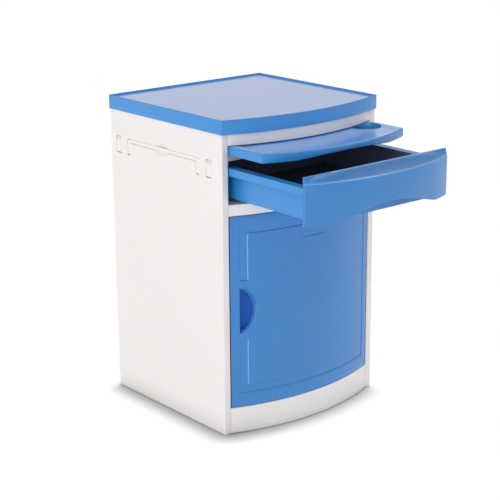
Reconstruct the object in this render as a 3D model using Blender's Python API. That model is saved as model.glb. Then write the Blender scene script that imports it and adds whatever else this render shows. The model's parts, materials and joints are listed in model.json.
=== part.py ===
"""Hospital bedside cabinet in moulded plastic: tray top, pull-out dining board, drawer, hinged door,
and a fold-out towel bar with two hooks on each side.

Metres, +X to the cabinet's right, +Y to its back, +Z up. The origin is at the middle of the bounding
box's bottom, with the drawer and the board drawn out as modelled. Left and right are as seen from the front.
"""

import math

import bmesh
import bpy
from mathutils import Vector

# Driving dimensions of the cabinet.
BODY_WIDTH = 0.480
BODY_DEPTH = 0.436
HEIGHT = 0.760
BOW = 0.044
POST_WIDTH = 0.018
POST_DEPTH = 0.020
PANEL = 0.014
SKIN = 0.0035
GAP = 0.0003
RUNNING_GAP = 0.0005
FOOT_HEIGHT = 0.0013

# Tray top.
TRAY_OVERHANG = 0.003
TRAY_HEIGHT = 0.0335
TRAY_WALL = TRAY_OVERHANG - GAP
TRAY_RIM = 0.004
TRAY_RECESS = 0.004
TRAY_DECK = 0.0045
TRAY_CORNER = 0.006

# Heights of the front, from the floor up.
DOOR_BOTTOM = 0.0655
DOOR_TOP = 0.5345
LOWER_RAIL = (0.5355, 0.562)
MIDDLE_RAIL = (0.661, 0.677)
TOP_RAIL_BOTTOM = 0.6995
PLINTH_TOP = 0.0645

# How far the drawer and the board stand out, and how far each travels either way.
DRAWER_OUT = 0.258
BOARD_OUT = 0.116

# Drawer.
FRONT_HALF = 0.2205
FRONT_Z = (0.563, 0.6725)
FRONT_END = 0.008
FRONT_LIP = 0.003
FRONT_CREASE = 0.658
FRONT_SCOOP = 1.5
FRONT_CAVITY_TOP = 0.645
FRONT_BACKPLATE = 0.004
ARCH_HALF = 0.165
ARCH_RISE = 0.032
ARCH_POWER = 1.2
BOX_LENGTH = 0.385
BOX_Z = (0.572, 0.648)
BOX_FLANGE_HALF = 0.2195
BOX_WALL_HALF = 0.2005
BOX_SKIRT_BOTTOM = 0.630
BOX_WALL = 0.003

# Runners: how thick the flanges are, where their tips end, and the play above the sliding edge.
BOARD_RUNNER_FLANGE = 0.005
BOARD_RUNNER_TIP = 0.206
DRAWER_RUNNER_FLANGE = 0.006
DRAWER_RUNNER_TIP = 0.2045
RUNNER_PLAY = 0.001
RUNNER_END = 0.004

# Dining board.
BOARD_HALF = 0.2205
BOARD_Z = (0.6785, 0.6985)
BOARD_BOW = 0.049
BOARD_LENGTH = 0.390
BOARD_SKIN = 0.004
BOARD_SUNK = 0.0012
BOARD_BORDER = 0.022
BOARD_LIP = 0.006
CUP_RADIUS = 0.038
CUP_DEPTH = 0.010
CUP_X = 0.170
CUP_FROM_CORNERS = 0.077
CUP_RING = 0.006
SCALLOP_HALF = 0.145
SCALLOP_RISE = 0.009

# Door.
DOOR_HALF = 0.2200
DOOR_THICKNESS = 0.018
DOOR_SKIN = 0.0035
DOOR_EDGE_RADIUS = 0.004
LINER_THICKNESS = 0.0025
HINGE_X = 0.2055
HINGE_INSET = 0.0055
HINGE_PIN_RADIUS = 0.0022
HINGE_PIN_REACH = 0.016
HINGE_BLOCK = 0.024
BUSH_WALL = 0.0018
HINGE_PIN_SPARE = 0.002
CHANNEL_OUTER = (0.2005, 0.0970, 0.5070)
CHANNEL_INNER = (0.1780, 0.1205, 0.4905)
CHANNEL_DEPTH = 0.0015
CHANNEL_CORNER = 0.009
FIELD_CORNER = 0.006
CORNER_STEPS = 5
LABEL_HALF = 0.037
LABEL_Z = 0.4605
LABEL_HALF_HEIGHT = 0.0008
CATCH_X = -0.190
CATCH_HALF = 0.014
STRIKE_Z = (0.505, 0.528)
STRIKE_THICKNESS = 0.0015
MAGNET_BOTTOM = 0.508
MAGNET_DEPTH = 0.014
HANDLE_FLAT_X = -0.199
HANDLE_REACH = 0.041
HANDLE_HALF_HEIGHT = 0.055
HANDLE_Z = 0.305
HANDLE_BOSS = 0.0175
CUP_WALL = 0.002
HANDLE_DEPTH = 0.0120
HANDLE_COLUMNS = 12

# Towel bar and hooks in each side panel.
FITTINGS_Y = 0.0075
FITTING_THICKNESS = 0.0084
FITTING_FLUSH = 0.0003
FITTING_TOP = 0.661
PIVOT_Z = 0.6255
BAR_HALF = 0.140
BAR_WIDTH = 0.0095
HOOK_SPREAD = 0.1775
HOOK_WIDTH = 0.020
POCKET_GAP = 0.00065
HOOK_HEAD_GAP = 0.0012
BAR_CORNER = 0.006
HOOK_CORNER = 0.004
DISH_HALF = 0.006
DISH_HEIGHT = 0.007
DISH_DEPTH = 0.0022
NOTCH_HALF = 0.026
NOTCH_HALF_HEIGHT = 0.016
NOTCH_DEPTH = 0.008
NOTCH_END = 0.15
PIVOT_PIN_RADIUS = 0.0014
PIVOT_PIN_REACH = 0.004

# Side panels' lightening pockets, back panel and inner panels.
POCKET_RIB = 0.020
POCKET_FROM_FRONT = 0.010
POCKET_FROM_BACK = 0.014
POCKET_ROWS = ((0.080, 0.170), (0.182, 0.274), (0.326, 0.416), (0.428, 0.520))
BACK_INSET = 0.001
BACK_THICKNESS = 0.004
BACK_RAISED = 0.004
BACK_FIELD_MARGIN = 0.030
BACK_FIELD_DEPTH = 0.0012
BACK_FIELDS = ((0.040, 0.530), (0.575, 0.715))
CUPBOARD_FLOOR_BOTTOM = 0.046
DECK_BOTTOM = 0.546
SHELF_Z = (0.300, 0.314)
SHELF_SETBACK = 0.030
SHELF_PLAY = 0.001
SHELF_FROM_BACK = 0.004

# Pegs, screws and feet.
STUD_RADIUS = 0.003
STUD_REACH = 0.009
STUD_SEAT = 0.006
SCREW_RADIUS = 0.004
BACK_SCREW_X = 0.216
BACK_SCREW_ENDS = ((0.060, "lower"), (0.700, "upper"))
BACK_SCREW_HEAD = 0.0008
FRONT_SCREW_X = 0.150
FRONT_SCREW_ENDS = ((0.590, "lower"), (0.632, "upper"))
FRONT_SCREW_HEAD = 0.0022
FOOT_INSET = 0.001
FOOT_FROM_END = 0.030
FOOT_HALF = 0.020

# Places worked out from the dimensions above.
HALF = BODY_WIDTH / 2
TRAY_HALF = HALF + TRAY_OVERHANG
FULL_DEPTH = TRAY_OVERHANG + BODY_DEPTH + DRAWER_OUT + BOW
BACK_Y = FULL_DEPTH / 2 - TRAY_OVERHANG
CORNER_Y = BACK_Y - BODY_DEPTH
MIDDLE_Y = (BACK_Y + CORNER_Y) / 2
INNER_HALF = HALF - PANEL
OPENING_HALF = HALF - POST_WIDTH
PANEL_TOP = HEIGHT - TRAY_RECESS - TRAY_DECK - GAP
TRAY_BOTTOM = HEIGHT - TRAY_HEIGHT
DRAWER_Y = CORNER_Y - DRAWER_OUT
BOARD_Y = CORNER_Y - BOARD_OUT
INSIDE_FRONT_Y = CORNER_Y + POST_DEPTH + GAP
BACK_PANEL_Y = BACK_Y - BACK_INSET - BACK_THICKNESS
INSIDE_BACK_Y = BACK_PANEL_Y - RUNNING_GAP

COLUMNS = 24
WHITE = ("white_abs", (0.80, 0.79, 0.78), 0.38, 0.0)
BLUE = ("blue_abs", (0.075, 0.27, 0.62), 0.34, 0.0)
DEEP_BLUE = ("deep_blue_abs", (0.03, 0.13, 0.42), 0.40, 0.0)
STEEL = ("steel", (0.62, 0.62, 0.63), 0.30, 1.0)
RUBBER = ("rubber", (0.05, 0.05, 0.055), 0.75, 0.0)
RUNNER = ("runner_plastic", (0.66, 0.66, 0.65), 0.45, 0.0)
MAGNET = ("magnet_black", (0.03, 0.03, 0.03), 0.5, 0.0)


def clear_scene():
    for item in list(bpy.data.objects):
        bpy.data.objects.remove(item, do_unlink=True)


def material(name, colour, roughness, metallic):
    """The named Principled material, made once."""
    made = bpy.data.materials.get(name)
    if made:
        return made
    made = bpy.data.materials.new(name)
    made.use_nodes = True
    shader = made.node_tree.nodes["Principled BSDF"]
    shader.inputs["Base Color"].default_value = (*colour, 1.0)
    shader.inputs["Roughness"].default_value = roughness
    shader.inputs["Metallic"].default_value = metallic
    return made


def finish_mesh(name, mesh_data, look, origin=(0, 0, 0)):
    """An object of this bmesh, whose own origin is at the given point."""
    bmesh.ops.recalc_face_normals(mesh_data, faces=mesh_data.faces)
    bmesh.ops.translate(mesh_data, verts=mesh_data.verts, vec=-Vector(origin))
    mesh = bpy.data.meshes.new(name)
    mesh_data.to_mesh(mesh)
    mesh_data.free()
    made = bpy.data.objects.new(name, mesh)
    made.location = origin
    bpy.context.scene.collection.objects.link(made)
    if look:
        mesh.materials.append(material(*look))
    return made


def loft(name, sections, look=None, origin=(0, 0, 0)):
    """A closed solid through sections that all have the same number of points."""
    shape = bmesh.new()
    rings = [[shape.verts.new(point) for point in section] for section in sections]
    for ring, following in zip(rings, rings[1:]):
        for index in range(len(ring)):
            after = (index + 1) % len(ring)
            shape.faces.new((ring[index], ring[after], following[after], following[index]))
    shape.faces.new(rings[0])
    shape.faces.new(rings[-1])
    return finish_mesh(name, shape, look, origin)


def box(name, low, high, look=None, origin=(0, 0, 0)):
    section = [(low[1], low[2]), (high[1], low[2]), (high[1], high[2]), (low[1], high[2])]
    return loft(name, [[(x, y, z) for y, z in section] for x in (low[0], high[0])], look, origin)


def prism(name, axis, outline, low, high, look=None, origin=(0, 0, 0)):
    """An outline in the plane across the axis, extruded from low to high along it."""
    place = {
        "X": lambda along, a, b: (along, a, b),
        "Y": lambda along, a, b: (a, along, b),
        "Z": lambda along, a, b: (a, b, along),
    }[axis]
    return loft(name, [[place(end, a, b) for a, b in outline] for end in (low, high)], look, origin)


def round_bar(name, axis, centre, radius, low, high, look=None, sides=20, origin=(0, 0, 0)):
    """A cylinder along the axis, whose centre is given by its two coordinates across it."""
    turns = [2 * math.pi * (index + 0.5) / sides for index in range(sides)]
    outline = [(centre[0] + radius * math.cos(t), centre[1] + radius * math.sin(t)) for t in turns]
    made = prism(name, axis, outline, low, high, look, origin)
    made.data.shade_smooth()
    made.data.set_sharp_from_angle(angle=math.radians(40))
    return made


def boolean(target, tool, operation="DIFFERENCE"):
    """Cuts the tool from the target, or joins it on, and keeps the tool out of the model."""
    tool.hide_render = True
    tool.display_type = "WIRE"
    change = target.modifiers.new(tool.name, "BOOLEAN")
    change.operation = operation
    change.solver = "EXACT"
    change.object = tool


def cut_box(target, name, low, high):
    boolean(target, box(f"cut_{name}", low, high))


def bow(x, half=OPENING_HALF, rise=BOW):
    """How far an arc over this half-width stands forward of its ends, at x."""
    radius = (half * half + rise * rise) / (2 * rise)
    reach = min(abs(x), half)
    return math.sqrt(radius * radius - reach * reach) - (radius - rise)


def spread(low, high, count=COLUMNS):
    return [low + (high - low) * index / count for index in range(count + 1)]


def bowed_block(name, low_x, high_x, z_range, front, back, look=None, origin=(0, 0, 0)):
    """A block whose front and back faces are functions of x."""
    low, high = z_range
    sections = []
    for x in spread(low_x, high_x):
        sections.append([(x, front(x), low), (x, back(x), low), (x, back(x), high), (x, front(x), high)])
    return loft(name, sections, look, origin)


def rail_front(x):
    return CORNER_Y - bow(x, OPENING_HALF - GAP)


def tray_outline(inset):
    """The tray's plan: straight back and sides, and a bowed front."""
    half = TRAY_HALF - inset
    back = BACK_Y + TRAY_OVERHANG - inset
    front = CORNER_Y - TRAY_OVERHANG + inset
    points = [(x, front - bow(x, half)) for x in spread(-half, half)]
    return points + [(half, back), (-half, back)]


def round_corners(shape, radius, chosen):
    """Rounds the upright edges whose x and y the test accepts."""
    data = bmesh.new()
    data.from_mesh(shape.data)
    edges = []
    for edge in data.edges:
        start, end = (vert.co for vert in edge.verts)
        upright = abs(start.x - end.x) < GAP and abs(start.y - end.y) < GAP
        if upright and chosen(start.x, start.y):
            edges.append(edge)
    bmesh.ops.bevel(data, geom=edges, offset=radius, segments=4, profile=0.5, affect="EDGES")
    data.to_mesh(shape.data)
    data.free()


def top_tray():
    tray = prism("top_tray", "Z", tray_outline(0), TRAY_BOTTOM, HEIGHT, BLUE)
    round_corners(tray, TRAY_CORNER, lambda x, y: abs(x) > HALF)
    recess = prism("cut_tray_recess", "Z", tray_outline(TRAY_RIM), HEIGHT - TRAY_RECESS, HEIGHT + SKIN)
    boolean(tray, recess)
    deck_bottom = HEIGHT - TRAY_RECESS - TRAY_DECK
    hollow = prism("cut_tray_hollow", "Z", tray_outline(TRAY_WALL), TRAY_BOTTOM - SKIN, deck_bottom)
    boolean(tray, hollow)


def side_panel(side):
    """side is -1 on the left and 1 on the right. The front edge turns in as a post."""
    name = "side_panel_left" if side < 0 else "side_panel_right"
    outer, inner, post = side * HALF, side * INNER_HALF, side * OPENING_HALF
    post_back = CORNER_Y + POST_DEPTH
    plan = [
        (outer, CORNER_Y),
        (outer, BACK_Y),
        (inner, BACK_Y),
        (inner, post_back),
        (post, post_back),
        (post, CORNER_Y),
    ]
    panel = prism(name, "Z", plan, FOOT_HEIGHT, PANEL_TOP, WHITE)
    lightening_pockets(panel, side)
    fitting_pockets(panel, side)
    return panel


def pocket_columns():
    """Front and back of each lightening pocket, with ribs between them."""
    start, end = INSIDE_FRONT_Y + POCKET_FROM_FRONT, INSIDE_BACK_Y - POCKET_FROM_BACK
    width = (end - start - 2 * POCKET_RIB) / 3
    fronts = [start + index * (width + POCKET_RIB) for index in range(3)]
    return [(front, front + width) for front in fronts]


def lightening_pockets(panel, side):
    reach = sorted((side * (HALF - SKIN), side * (INNER_HALF - SKIN)))
    for column, (front, back) in enumerate(pocket_columns()):
        for row, (bottom, top) in enumerate(POCKET_ROWS):
            low, high = (reach[0], front, bottom), (reach[1], back, top)
            cut_box(panel, f"{panel.name}_{column}{row}", low, high)


def side_x(side, depth):
    """x at this depth under the side panel's outer face."""
    return side * (HALF - depth)


def bar_outline(grow=0.0):
    """The towel bar's inverted U in y and z, with its legs cut off at the pivots' height."""
    outer, inner = BAR_HALF + grow, BAR_HALF - BAR_WIDTH - grow
    top, under = FITTING_TOP + grow, FITTING_TOP - BAR_WIDTH - grow
    foot = PIVOT_Z - FITTING_THICKNESS / 2 - grow
    outline = [(-outer, foot), (-outer, top - BAR_CORNER), (-outer + BAR_CORNER, top)]
    outline += [(outer - BAR_CORNER, top), (outer, top - BAR_CORNER), (outer, foot)]
    outline += [(inner, foot), (inner, under), (-inner, under), (-inner, foot)]
    return [(MIDDLE_Y + FITTINGS_Y + y, z) for y, z in outline]


def hook_outline(centre, grow=0.0, head=0.0):
    """A hook's plate in y and z, with its upper corners cut."""
    half = HOOK_WIDTH / 2 + grow
    top, foot = FITTING_TOP + grow + head, PIVOT_Z - FITTING_THICKNESS / 2 - grow
    outline = [(-half, foot), (-half, top - HOOK_CORNER), (-half + HOOK_CORNER, top)]
    outline += [(half - HOOK_CORNER, top), (half, top - HOOK_CORNER), (half, foot)]
    return [(centre + y, z) for y, z in outline]


def hook_centres():
    return {"rear": MIDDLE_Y + FITTINGS_Y + HOOK_SPREAD, "front": MIDDLE_Y + FITTINGS_Y - HOOK_SPREAD}


def pivots():
    """Name and y range of each pivot on one side."""
    middle = MIDDLE_Y + FITTINGS_Y
    found = []
    for name, sign in (("front", -1), ("rear", 1)):
        ends = sorted((middle + sign * BAR_HALF, middle + sign * (BAR_HALF - BAR_WIDTH)))
        found.append((f"bar_{name}", ends))
    for name, centre in hook_centres().items():
        found.append((f"hook_{name}", (centre - HOOK_WIDTH / 2, centre + HOOK_WIDTH / 2)))
    return found


def pivot_centre(side):
    return (side_x(side, FITTING_FLUSH + FITTING_THICKNESS / 2), PIVOT_Z)


def across_y(name, side, low, high, radius, look=None, origin=(0, 0, 0)):
    x, z = pivot_centre(side)
    return round_bar(name, "Y", (x, z), radius, low, high, look, 16, origin)


def fitting_pockets(panel, side):
    """The flush pockets of the towel bar and the hooks, the finger notch and the pins' holes."""
    for name, (low, high) in pivots():
        hole = across_y(
            f"cut_{panel.name}_pin_{name}",
            side,
            low - PIVOT_PIN_REACH - GAP,
            high + PIVOT_PIN_REACH + GAP,
            PIVOT_PIN_RADIUS + GAP,
        )
        boolean(panel, hole)
    boolean(panel, finger_scoop(f"cut_{panel.name}_notch", side))
    depth = FITTING_FLUSH + FITTING_THICKNESS + POCKET_GAP
    reach = sorted((side_x(side, -SKIN), side_x(side, depth)))
    boolean(panel, prism(f"cut_{panel.name}_bar", "X", bar_outline(POCKET_GAP), *reach))
    for name, centre in hook_centres().items():
        outline = hook_outline(centre, POCKET_GAP, HOOK_HEAD_GAP)
        boolean(panel, prism(f"cut_{panel.name}_hook_{name}", "X", outline, *reach))


def finger_scoop(name, side):
    """A shallow dish round the middle of the towel bar, to get a finger behind it."""
    middle, height = MIDDLE_Y + FITTINGS_Y, FITTING_TOP - BAR_WIDTH / 2
    sections = []
    for step in spread(-1, 1, 12):
        size = NOTCH_END + (1 - NOTCH_END) * math.sqrt(max(1 - step * step, 0.0))
        y, tall = middle + NOTCH_HALF * step, NOTCH_HALF_HEIGHT * size
        section = []
        for turn in spread(-math.pi / 2, math.pi / 2, 8):
            depth = NOTCH_DEPTH * size * math.cos(turn)
            section.append((side_x(side, depth), y, height + tall * math.sin(turn)))
        outside = side_x(side, -SKIN)
        section += [(outside, y, height + tall), (outside, y, height - tall)]
        sections.append(section)
    return loft(name, sections)


def rounded_foot(shape):
    """Rounds the lower end about the pivot, so that it turns inside its pocket."""
    data = bmesh.new()
    data.from_mesh(shape.data)
    edges = []
    lowest = min(vert.co.z for vert in data.verts)
    for edge in data.edges:
        start, end = (vert.co for vert in edge.verts)
        at_foot = max(start.z, end.z) < lowest + GAP
        if at_foot and abs(start.x - end.x) < GAP:
            edges.append(edge)
    bmesh.ops.bevel(
        data,
        geom=edges,
        offset=FITTING_THICKNESS / 2 - GAP / 3,
        segments=5,
        profile=0.5,
        affect="EDGES",
    )
    data.to_mesh(shape.data)
    data.free()


def towel_bar(side):
    name = "towel_bar_left" if side < 0 else "towel_bar_right"
    x, z = pivot_centre(side)
    reach = sorted((side_x(side, FITTING_FLUSH), side_x(side, FITTING_FLUSH + FITTING_THICKNESS)))
    bar = prism(name, "X", bar_outline(), *reach, WHITE, (x, MIDDLE_Y + FITTINGS_Y, z))
    rounded_foot(bar)
    for pin, (low, high) in pivots()[:2]:
        hole = across_y(f"cut_{name}_{pin}", side, low - GAP, high + GAP, PIVOT_PIN_RADIUS + GAP)
        boolean(bar, hole)


def hook(side, end):
    """A flat plate that folds out, with a finger dish at the top of its outer face."""
    centre = hook_centres()[end]
    name = f"hook_{'left' if side < 0 else 'right'}_{end}"
    x, z = pivot_centre(side)
    reach = sorted((side_x(side, FITTING_FLUSH), side_x(side, FITTING_FLUSH + FITTING_THICKNESS)))
    plate = prism(name, "X", hook_outline(centre), *reach, WHITE, (x, centre, z))
    rounded_foot(plate)
    low, high = centre - HOOK_WIDTH / 2, centre + HOOK_WIDTH / 2
    boolean(plate, across_y(f"cut_{name}_pin", side, low - GAP, high + GAP, PIVOT_PIN_RADIUS + GAP))
    dish = sorted((side_x(side, -SKIN), side_x(side, DISH_DEPTH)))
    dish_low = (dish[0], centre - DISH_HALF, FITTING_TOP - DISH_HEIGHT)
    cut_box(plate, f"{name}_dish", dish_low, (dish[1], centre + DISH_HALF, FITTING_TOP + SKIN))


def pivot_pins(side):
    """Four steel pins on one side: two for the towel bar and one for each hook."""
    word = "left" if side < 0 else "right"
    for name, (low, high) in pivots():
        across_y(
            f"pin_{word}_{name}",
            side,
            low - PIVOT_PIN_REACH,
            high + PIVOT_PIN_REACH,
            PIVOT_PIN_RADIUS,
            STEEL,
        )


def back_panel():
    low = (-INNER_HALF + GAP, BACK_PANEL_Y, FOOT_HEIGHT + BACK_RAISED)
    high = (INNER_HALF - GAP, BACK_Y - BACK_INSET, PANEL_TOP)
    panel = box("back_panel", low, high, WHITE)
    for row, (bottom, top) in enumerate(BACK_FIELDS):
        field_low = (low[0] + BACK_FIELD_MARGIN, high[1] - BACK_FIELD_DEPTH, bottom)
        field_high = (high[0] - BACK_FIELD_MARGIN, BACK_Y + SKIN, top)
        cut_box(panel, f"back_field_{row}", field_low, field_high)


def bowed_rail(name, z_range, hollow, look=WHITE):
    """A cross rail between the posts: bowed front wall, hollow behind, as the two heights of hollow say."""
    reach = OPENING_HALF - GAP
    back = CORNER_Y + POST_DEPTH
    rail = bowed_block(name, -reach, reach, z_range, rail_front, lambda x: back, look)
    inner = reach - SKIN
    boolean(
        rail,
        bowed_block(
            f"cut_{name}",
            -inner,
            inner,
            hollow,
            lambda x: rail_front(x) + SKIN,
            lambda x: back + SKIN,
        ),
    )
    return rail


def front_rails():
    top = (TOP_RAIL_BOTTOM, PANEL_TOP)
    bowed_rail("top_rail", top, (TOP_RAIL_BOTTOM + SKIN, PANEL_TOP + SKIN))
    lower = bowed_rail("lower_rail", LOWER_RAIL, (LOWER_RAIL[0] + SKIN, LOWER_RAIL[1] - SKIN))
    plinth = bowed_rail("plinth", (FOOT_HEIGHT, PLINTH_TOP), (0.0, PLINTH_TOP - SKIN))
    reach = OPENING_HALF - GAP
    setback = CORNER_Y + FRONT_END + RUNNING_GAP
    box(
        "middle_rail",
        (-reach, setback, MIDDLE_RAIL[0]),
        (reach, CORNER_Y + POST_DEPTH, MIDDLE_RAIL[1]),
        WHITE,
    )
    for rail, low, high in (
        (lower, LOWER_RAIL[0] - SKIN, LOWER_RAIL[0] + SKIN * 2),
        (plinth, PLINTH_TOP - SKIN * 2, PLINTH_TOP + SKIN),
    ):
        centre = (HINGE_X, CORNER_Y + HINGE_INSET)
        radius = HINGE_PIN_RADIUS + GAP
        boolean(rail, round_bar(f"cut_{rail.name}_pin", "Z", centre, radius, low, high))


def pan(name, low, high, skin, look=WHITE):
    """A panel with a turned-down edge, open underneath."""
    made = box(name, low, high, look)
    inner_low = (low[0] + skin, low[1] + skin, low[2] - skin)
    cut_box(made, name, inner_low, (high[0] - skin, high[1] - skin, high[2] - skin))
    return made


def inner_panels():
    """The cupboard's floor, its loose shelf and the deck under the drawer."""
    reach = INNER_HALF - GAP
    for name, bottom, top in (
        ("cupboard_floor", CUPBOARD_FLOOR_BOTTOM, PLINTH_TOP),
        ("drawer_deck", DECK_BOTTOM, LOWER_RAIL[1]),
    ):
        pan(name, (-reach, INSIDE_FRONT_Y, bottom), (reach, INSIDE_BACK_Y, top), SKIN)
    reach = INNER_HALF - SHELF_PLAY
    low = (-reach, INSIDE_FRONT_Y + SHELF_SETBACK, SHELF_Z[0])
    pan("cupboard_shelf", low, (reach, INSIDE_BACK_Y - SHELF_FROM_BACK, SHELF_Z[1]), SKIN)


def shelf_studs():
    """Four pegs in the side panels that the shelf lies on."""
    columns = pocket_columns()
    depths = [(columns[0][1] + columns[1][0]) / 2, (columns[1][1] + columns[2][0]) / 2]
    height = SHELF_Z[0] - GAP - STUD_RADIUS
    for side in (-1, 1):
        panel = bpy.data.objects["side_panel_left" if side < 0 else "side_panel_right"]
        word = "left" if side < 0 else "right"
        for end, y in zip(("front", "rear"), depths):
            name, centre = f"stud_{word}_{end}", (y, height)
            seat = sorted((side * (INNER_HALF - STUD_REACH), side * (INNER_HALF + STUD_SEAT)))
            round_bar(f"shelf_{name}", "X", centre, STUD_RADIUS, *seat, STEEL, 12)
            hole = sorted((side * (INNER_HALF - GAP), side * (INNER_HALF + STUD_SEAT + GAP)))
            boolean(panel, round_bar(f"cut_{name}", "X", centre, STUD_RADIUS + GAP, *hole, None, 12))


def channel_rail(name, side, z_range, flange, reach_in):
    """A C-shaped runner on a side panel: two flanges that hold a sliding edge between them."""
    web = side * (INNER_HALF - GAP)
    web_face = side * (OPENING_HALF - RUNNING_GAP)
    tip = side * reach_in
    low, high = z_range
    outline = [
        (web, low - flange),
        (web, high + flange),
        (tip, high + flange),
        (tip, high),
        (web_face, high),
        (web_face, low),
        (tip, low),
        (tip, low - flange),
    ]
    return prism(name, "Y", outline, INSIDE_FRONT_Y, INSIDE_BACK_Y - RUNNER_END, RUNNER)


def runners():
    for side, word in ((-1, "left"), (1, "right")):
        slot = (BOARD_Z[0] - RUNNING_GAP, BOARD_Z[1] + RUNNER_PLAY)
        channel_rail(f"board_runner_{word}", side, slot, BOARD_RUNNER_FLANGE, BOARD_RUNNER_TIP)
        slot = (BOX_SKIRT_BOTTOM - RUNNING_GAP, BOX_Z[1] + RUNNER_PLAY)
        channel_rail(f"drawer_runner_{word}", side, slot, DRAWER_RUNNER_FLANGE, DRAWER_RUNNER_TIP)


def scallop(half, rise, base, power=1.0):
    """The outline in x and z of a shallow arch that cuts upwards into a lower edge."""
    outline = [(half, base - PANEL), (-half, base - PANEL)]
    for x in spread(-half, half):
        outline.append((x, base + rise * max(math.cos(math.pi * x / (2 * half)), 0.0) ** power))
    return outline


def dining_board():
    origin = (0, BOARD_Y, BOARD_Z[0])
    back = BOARD_Y + BOARD_LENGTH

    def front(x):
        return BOARD_Y - bow(x, BOARD_HALF, BOARD_BOW)

    board = bowed_block(
        "dining_board",
        -BOARD_HALF,
        BOARD_HALF,
        BOARD_Z,
        front,
        lambda x: back,
        BLUE,
        origin,
    )
    sunk = BOARD_HALF - BOARD_BORDER
    surface = (BOARD_Z[1] - BOARD_SUNK, BOARD_Z[1] + SKIN)
    boolean(
        board,
        bowed_block(
            "cut_board_surface",
            -sunk,
            sunk,
            surface,
            lambda x: front(x) + BOARD_LIP,
            lambda x: back - BOARD_BORDER,
        ),
    )
    cup_y = BOARD_Y + CUP_FROM_CORNERS
    cup_bottom = BOARD_Z[1] - CUP_DEPTH
    cup_top = BOARD_Z[1] + SKIN
    boolean(board, round_bar("cut_cup", "Z", (CUP_X, cup_y), CUP_RADIUS, cup_bottom, cup_top, None, 40))
    under = BOARD_Z[0] - SKIN
    roof = BOARD_Z[1] - BOARD_SUNK - BOARD_SKIN
    cup_side = CUP_X - CUP_RADIUS - CUP_RING
    boolean(
        board,
        bowed_block(
            "cut_board_under",
            -BOARD_HALF + BOARD_SKIN,
            cup_side,
            (under, roof),
            lambda x: front(x) + BOARD_SKIN,
            lambda x: back - BOARD_SKIN,
        ),
    )
    cup_back = cup_y + CUP_RADIUS + SKIN
    low = (cup_side + SKIN, cup_back, under)
    cut_box(board, "board_under_cup_back", low, (BOARD_HALF - BOARD_SKIN, back - BOARD_SKIN, roof))
    grip = scallop(SCALLOP_HALF, SCALLOP_RISE, BOARD_Z[0])
    boolean(board, prism("cut_board_grip", "Y", grip, BOARD_Y - BOARD_BOW - SKIN, BOARD_Y))


def drawer_front_section(x):
    """The front's outline in y and z at x: straight back, bowed face, and a scoop down to a crease."""
    back = DRAWER_Y + FRONT_END
    face = DRAWER_Y - bow(x, FRONT_HALF)
    lip = back - FRONT_LIP
    low, top = FRONT_Z
    points = [(back, low), (face, low), (face, FRONT_CREASE)]
    for step in spread(0, 1, 5)[1:-1]:
        rise = (top - FRONT_CREASE) * step**FRONT_SCOOP
        points.append((face + (lip - face) * step, FRONT_CREASE + rise))
    points += [(lip, top), (back, top)]
    return [(x, y, z) for y, z in points]


def drawer_front():
    origin = (0, DRAWER_Y, FRONT_Z[0])
    sections = [drawer_front_section(x) for x in spread(-FRONT_HALF, FRONT_HALF, 32)]
    front = loft("drawer_front", sections, BLUE, origin)
    inner = FRONT_HALF - SKIN
    plate = DRAWER_Y + FRONT_END - FRONT_BACKPLATE
    hollow = bowed_block(
        "cut_front_hollow",
        -inner,
        inner,
        (FRONT_Z[0] - SKIN, FRONT_CAVITY_TOP),
        lambda x: DRAWER_Y - bow(x, FRONT_HALF) + SKIN,
        lambda x: plate,
    )
    boolean(front, hollow)
    arch = scallop(ARCH_HALF, ARCH_RISE, FRONT_Z[0], ARCH_POWER)
    boolean(front, prism("cut_front_arch", "Y", arch, DRAWER_Y - BOW - SKIN, plate - GAP))


def drawer_box():
    """A tub with a turned-out rim, whose skirts ride in the runners."""
    start = DRAWER_Y + FRONT_END + GAP
    end = start + BOX_LENGTH
    bottom, top = BOX_Z
    tub = box(
        "drawer_box",
        (-BOX_FLANGE_HALF, start, bottom),
        (BOX_FLANGE_HALF, end, top),
        BLUE,
        (0, DRAWER_Y, bottom),
    )
    inside = BOX_WALL_HALF - BOX_WALL
    low = (-inside, start + BOX_WALL, bottom + BOX_WALL)
    cut_box(tub, "drawer_inside", low, (inside, end - BOX_WALL, top + SKIN))
    for side, word in ((-1, "left"), (1, "right")):
        below = sorted((side * BOX_WALL_HALF, side * (BOX_FLANGE_HALF + SKIN)))
        cut_box(
            tub,
            f"under_skirt_{word}",
            (below[0], start - SKIN, bottom - SKIN),
            (below[1], end + SKIN, BOX_SKIRT_BOTTOM),
        )
        behind = sorted((side * BOX_WALL_HALF, side * (BOX_FLANGE_HALF - BOX_WALL)))
        cut_box(
            tub,
            f"in_skirt_{word}",
            (behind[0], start - SKIN, bottom - SKIN),
            (behind[1], end + SKIN, top - BOX_WALL),
        )


def screws():
    """Pan heads at the back panel's corners and inside the drawer's front wall."""
    back = (BACK_Y - BACK_INSET + GAP, BACK_Y + BACK_SCREW_HEAD)
    wall = DRAWER_Y + FRONT_END + GAP + BOX_WALL + GAP
    front = (wall, wall + FRONT_SCREW_HEAD)
    for side, word in ((-1, "left"), (1, "right")):
        for z, end in BACK_SCREW_ENDS:
            centre = (side * BACK_SCREW_X, z)
            round_bar(f"back_screw_{end}_{word}", "Y", centre, SCREW_RADIUS, *back, STEEL, 12)
        for z, end in FRONT_SCREW_ENDS:
            centre = (side * FRONT_SCREW_X, z)
            round_bar(f"front_screw_{end}_{word}", "Y", centre, SCREW_RADIUS, *front, STEEL, 12)


def door_face(x):
    return CORNER_Y - bow(x, DOOR_HALF)


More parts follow.
